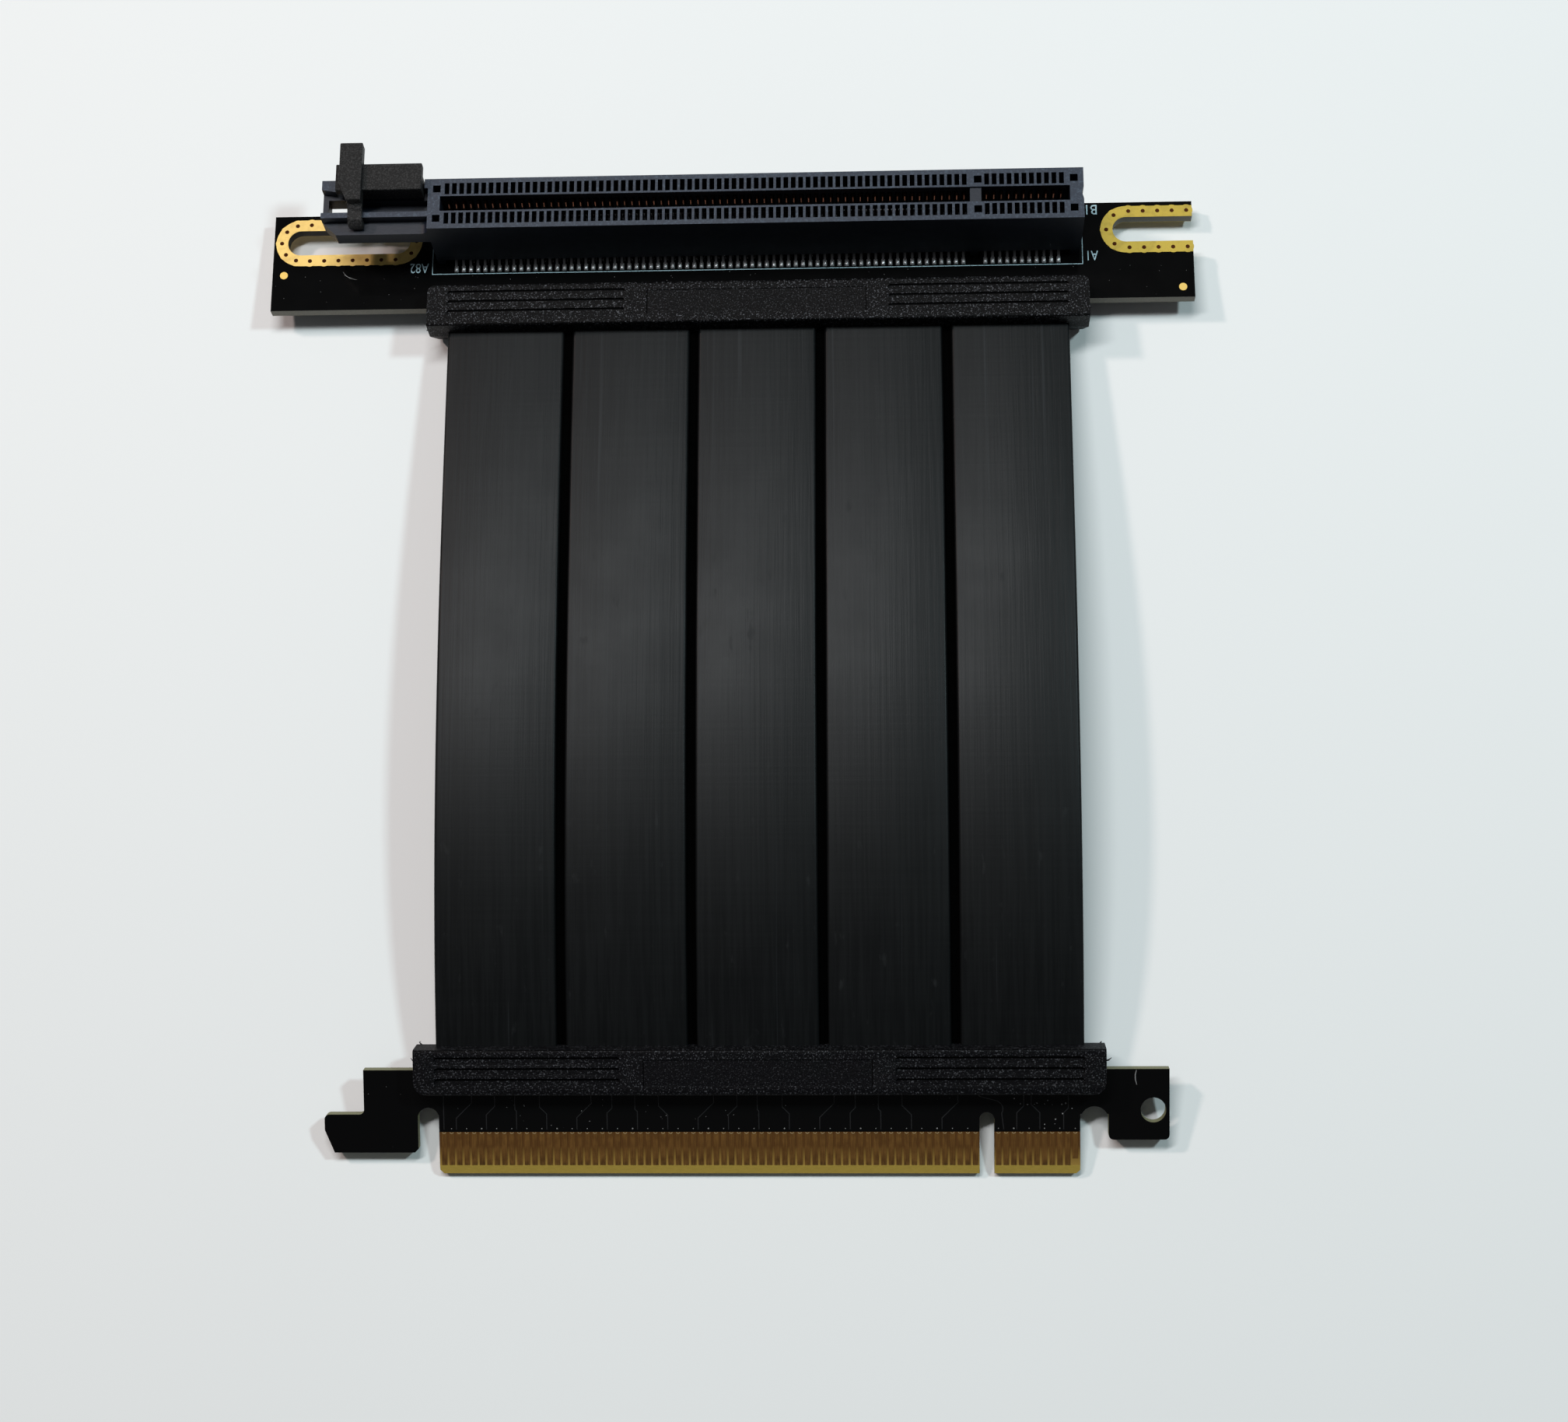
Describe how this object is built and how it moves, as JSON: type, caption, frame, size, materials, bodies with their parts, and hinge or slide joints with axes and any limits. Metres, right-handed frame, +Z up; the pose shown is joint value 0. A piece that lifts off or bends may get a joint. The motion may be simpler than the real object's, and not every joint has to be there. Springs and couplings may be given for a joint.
{
  "type": "pcie riser card",
  "caption": "Ribbon riser for an expansion card: a slot board with a latched edge connector, joined by a flat ribbon to a plug board with edge contacts.",
  "frame": {"origin": "middle of the bottom of the whole riser, on the surface that it lies on", "axes": "+X along the contact rows, from the latch end to contact 1; +Y from the plug board to the slot board; +Z up, out of the card slot"},
  "size_m": [0.1272, 0.1378, 0.0171],
  "materials": {
    "solder_mask": "semi-gloss black solder mask over glass fibre board",
    "gold_plate": "gold plating, lightly worn",
    "finger_gold": "gold plating, tarnished brown",
    "spring_copper": "bright copper alloy, tinned at the feet",
    "connector_plastic": "satin dark grey glass-filled plastic",
    "latch_plastic": "fine matte black nylon",
    "moulded_rubber": "coarse grained black soft plastic",
    "ribbon_jacket": "satin black with fine lengthwise lines",
    "foil_bundle": "foil-wrapped wire bundle, hidden in the jacket",
    "tinned_copper": "tinned copper, hidden in the mouldings"
  },
  "bodies": {
    "riser": {"closed_slot_ring": "gold_plate", "conductor_core_1": "foil_bundle", "conductor_core_2": "foil_bundle", "conductor_core_3": "foil_bundle", "conductor_core_4": "foil_bundle", "conductor_core_5": "foil_bundle", "contacts_side_a": "spring_copper", "contacts_side_b": "spring_copper", "fiducial_dots": "gold_plate", "fingers_side_a": "finger_gold", "fingers_side_b": "finger_gold", "open_slot_ring": "gold_plate", "plug_board": "solder_mask", "plug_overmould": "moulded_rubber", "plug_solder_tails_bottom": "tinned_copper", "plug_solder_tails_top": "tinned_copper", "ribbon_sheath": "ribbon_jacket", "slot_board": "solder_mask", "slot_housing": "connector_plastic", "slot_overmould": "moulded_rubber", "slot_solder_tails_bottom": "tinned_copper", "slot_solder_tails_top": "tinned_copper"},
    "latch": {"latch": "latch_plastic"}
  },
  "joints": [
    {"name": "latch_hinge", "type": "hinge", "parent": "riser", "child": "latch", "pos_m": [-0.047, 0.06347, 0.01316], "axis": [-1, 0, 0], "range_deg": [0, 80]}
  ]
}
